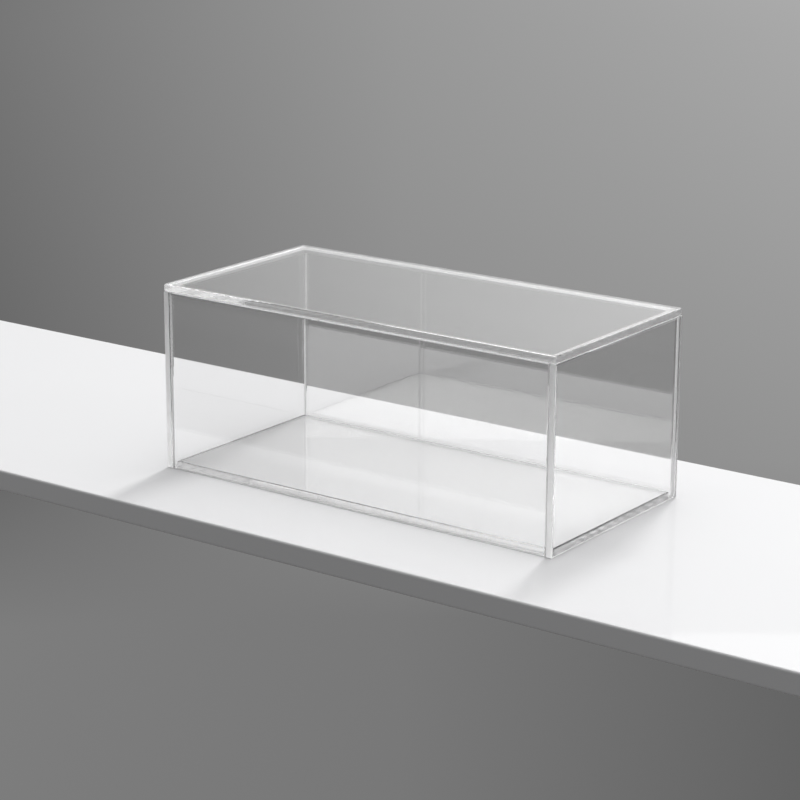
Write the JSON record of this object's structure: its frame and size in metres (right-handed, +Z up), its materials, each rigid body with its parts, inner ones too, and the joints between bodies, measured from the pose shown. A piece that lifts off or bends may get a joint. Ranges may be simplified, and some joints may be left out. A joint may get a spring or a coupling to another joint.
{
  "type": "display case",
  "caption": "Clear rectangular display case: a five-sided sheet cover with polished edges that lifts off a loose flat base panel, for showing a scale model free of dust.",
  "frame": {"origin": "centre of the footprint, on the surface that the case stands on", "axes": "+X along the long side, +Y from the front panel to the back panel, +Z up, the way the cover lifts off"},
  "size_m": [0.33, 0.16, 0.136],
  "materials": {
    "clear_cover": "clear colourless cast sheet with polished cut edges",
    "clear_base": "clear colourless cast sheet with polished cut edges"
  },
  "bodies": {
    "base": {"base_panel": "clear_base"},
    "cover": {"top_panel": "clear_cover", "front_panel": "clear_cover", "back_panel": "clear_cover", "left_panel": "clear_cover", "right_panel": "clear_cover"}
  },
  "joints": [
    {"name": "cover_lift", "type": "slide", "parent": "base", "child": "cover", "axis": [0, 0, 1], "range_m": [0, 0.16]}
  ]
}
